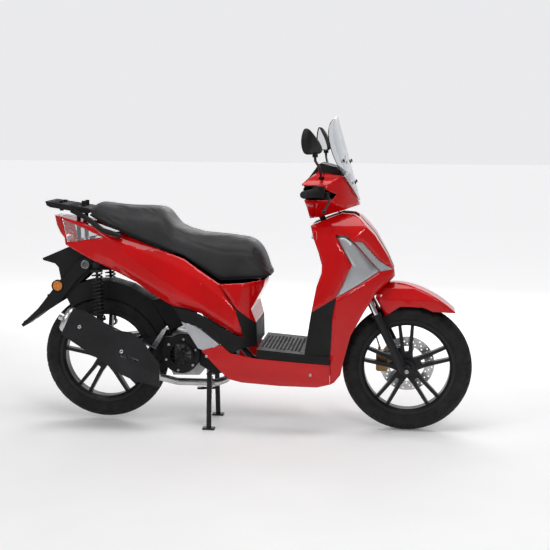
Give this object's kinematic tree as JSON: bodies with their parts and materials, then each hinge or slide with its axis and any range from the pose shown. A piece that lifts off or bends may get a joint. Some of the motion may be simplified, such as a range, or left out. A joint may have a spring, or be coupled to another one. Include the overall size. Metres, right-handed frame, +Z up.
{
  "type": "moped scooter",
  "caption": "Big-wheel step-through scooter with a stepped dual seat, flat floor, windscreen, luggage rack and centre stand.",
  "frame": {"origin": "on the ground at the middle of the bounding box", "axes": "+X forward, +Y to the rider's left, +Z up"},
  "size_m": [1.9903, 0.769, 1.3541],
  "materials": {
    "red_paint": "gloss",
    "black_plastic": "matte",
    "silver_plastic": "satin",
    "clear_lens": "gloss",
    "screen": "gloss",
    "seat_cover": "matte",
    "tyre_rubber": "matte",
    "black_alloy": "satin",
    "bare_alloy": "satin",
    "chrome_steel": "polished",
    "brake_steel": "satin",
    "black_metal": "satin",
    "gold_metal": "satin",
    "exhaust_steel": "satin",
    "shield_metal": "satin",
    "grip_rubber": "matte",
    "spring_steel": "satin",
    "red_button": "satin",
    "grey_button": "satin"
  },
  "bodies": {
    "chassis": {"frame": "black_metal", "front_apron": "red_paint", "arrow_trims": "silver_plastic", "headlights": "clear_lens", "leg_shield": "red_paint", "floor_panel": "black_plastic", "side_sills": "red_paint", "luggage_rack": "black_plastic", "side_panel_right": "red_paint", "side_panel_left": "red_paint", "tail_light": "clear_lens", "seat_cowl": "red_paint", "lower_trims": "black_plastic", "side_vents": "silver_plastic", "rear_mudguard": "black_plastic", "storage_bucket": "black_plastic", "fuel_tank": "black_plastic"},
    "steering": {"steering_stem": "black_alloy", "fork_tubes": "chrome_steel", "front_fender": "red_paint", "handlebar": "black_metal", "left_grip": "grip_rubber", "switch_boxes": "black_plastic", "lever_brackets": "black_metal", "bar_cover_front": "red_paint", "bar_cover_rear": "red_paint", "dash": "black_plastic", "windscreen": "screen", "front_brake_hose": "grip_rubber"},
    "fork_slider": {"fork_lowers": "black_alloy", "front_caliper": "gold_metal"},
    "front_wheel": {"front_tyre": "tyre_rubber", "front_rim": "black_alloy", "front_disc": "brake_steel"},
    "engine_unit": {"crankcase": "bare_alloy", "cvt_case": "bare_alloy", "fan_cover": "black_plastic", "exhaust": "exhaust_steel", "muffler_shield": "shield_metal", "swing_arm": "black_alloy", "rear_hugger": "black_plastic"},
    "rear_wheel": {"rear_tyre": "tyre_rubber", "rear_rim": "black_alloy"},
    "shock_upper": {"shock_rods": "chrome_steel", "shock_springs": "spring_steel"},
    "shock_lower": {"shock_bodies": "black_metal"},
    "stand": {"centre_stand": "black_metal"},
    "kick_start": {"kick_lever": "black_metal"},
    "seat": {"seat_cushion": "seat_cover", "seat_base": "black_plastic"},
    "glovebox_door": {"glovebox_lid": "red_paint"},
    "ignition": {"ignition_barrel": "brake_steel"},
    "throttle": {"throttle_grip": "grip_rubber"},
    "right_lever": {"brake_lever_right": "black_metal"},
    "left_lever": {"brake_lever_left": "black_metal"},
    "starter": {"starter_button": "red_button"},
    "horn": {"horn_button": "grey_button"},
    "turn_signal": {"turn_switch": "grey_button"},
    "mirror_head_right": {"mirror_right": "black_plastic"},
    "mirror_head_left": {"mirror_left": "black_plastic"}
  },
  "joints": [
    {"name": "steer", "type": "hinge", "parent": "chassis", "child": "steering", "pos_m": [0.43373, 0, 0.74], "axis": [-0.454, 0, 0.891], "range_deg": [-32, 32]},
    {"name": "fork_slide", "type": "slide", "parent": "steering", "child": "fork_slider", "axis": [-0.454, 0, 0.891], "range_m": [0, 0.06], "stiffness_N_per_m": 9000, "springref_m": -0.06, "deforming": ["front_brake_hose"]},
    {"name": "front_wheel_spin", "type": "hinge", "parent": "fork_slider", "child": "front_wheel", "pos_m": [0.71525, 0, 0.28], "axis": [0, 1, 0], "continuous": true},
    {"name": "swing", "type": "hinge", "parent": "chassis", "child": "engine_unit", "pos_m": [-0.17925, 0, 0.44], "axis": [0, 1, 0], "range_deg": [0, 6], "stiffness_Nm_per_rad": 3000, "springref_deg": -2.86},
    {"name": "rear_wheel_spin", "type": "hinge", "parent": "engine_unit", "child": "rear_wheel", "pos_m": [-0.61925, 0, 0.295], "axis": [0, 1, 0], "continuous": true},
    {"name": "shock_pivot", "type": "hinge", "parent": "chassis", "child": "shock_upper", "pos_m": [-0.63425, 0, 0.715], "axis": [0, 1, 0], "range_deg": [-3, 3]},
    {"name": "shock_slide", "type": "slide", "parent": "shock_upper", "child": "shock_lower", "axis": [-0.0517, 0, 0.9987], "range_m": [0, 0.05], "deforming": ["shock_springs"]},
    {"name": "stand_fold", "type": "hinge", "parent": "engine_unit", "child": "stand", "pos_m": [-0.13925, 0, 0.241], "axis": [0, 1, 0], "range_deg": [0, 57]},
    {"name": "kick_turn", "type": "hinge", "parent": "engine_unit", "child": "kick_start", "pos_m": [-0.36125, 0.13, 0.33], "axis": [0, -1, 0], "range_deg": [0, 55], "stiffness_Nm_per_rad": 6, "springref_deg": -28.65},
    {"name": "seat_lift", "type": "hinge", "parent": "chassis", "child": "seat", "pos_m": [0.08875, 0, 0.65], "axis": [0, 1, 0], "range_deg": [0, 60]},
    {"name": "glovebox_turn", "type": "hinge", "parent": "chassis", "child": "glovebox_door", "pos_m": [0.33175, 0.097, 0.6405], "axis": [0, -1, 0], "range_deg": [0, 60]},
    {"name": "ignition_turn", "type": "hinge", "parent": "chassis", "child": "ignition", "pos_m": [0.34875, -0.108, 0.836], "axis": [-0.8984, 0, 0.4392], "range_deg": [0, 90]},
    {"name": "throttle_turn", "type": "hinge", "parent": "steering", "child": "throttle", "pos_m": [0.30858, -0.29375, 1.04425], "axis": [-0.3472, -0.9375, -0.0208], "range_deg": [0, 80], "stiffness_Nm_per_rad": 0.4, "springref_deg": -17.19},
    {"name": "right_lever_pull", "type": "hinge", "parent": "steering", "child": "right_lever", "pos_m": [0.37314, -0.20924, 1.03208], "axis": [0, 0, -1], "range_deg": [0, 18], "stiffness_Nm_per_rad": 6, "springref_deg": -11.46},
    {"name": "left_lever_pull", "type": "hinge", "parent": "steering", "child": "left_lever", "pos_m": [0.37314, 0.20924, 1.03208], "axis": [0, 0, 1], "range_deg": [0, 18], "stiffness_Nm_per_rad": 6, "springref_deg": -11.46},
    {"name": "starter_press", "type": "slide", "parent": "steering", "child": "starter", "axis": [1, 0, 0], "range_m": [0, 0.003], "stiffness_N_per_m": 400, "springref_m": -0.002},
    {"name": "horn_press", "type": "slide", "parent": "steering", "child": "horn", "axis": [1, 0, 0], "range_m": [0, 0.003], "stiffness_N_per_m": 400, "springref_m": -0.002},
    {"name": "turn_signal_slide", "type": "slide", "parent": "steering", "child": "turn_signal", "axis": [0, 1, 0], "range_m": [-0.004, 0.004]},
    {"name": "right_mirror_turn", "type": "hinge", "parent": "steering", "child": "mirror_head_right", "pos_m": [0.33075, -0.3, 1.2], "axis": [0, 0, 1], "range_deg": [-20, 20]},
    {"name": "left_mirror_turn", "type": "hinge", "parent": "steering", "child": "mirror_head_left", "pos_m": [0.33075, 0.3, 1.2], "axis": [0, 0, 1], "range_deg": [-20, 20]}
  ],
  "couplings": [
    {"joint": "shock_pivot", "follows": "swing", "ratio": -0.147},
    {"joint": "shock_slide", "follows": "swing", "m_per_rad": 0.438}
  ]
}
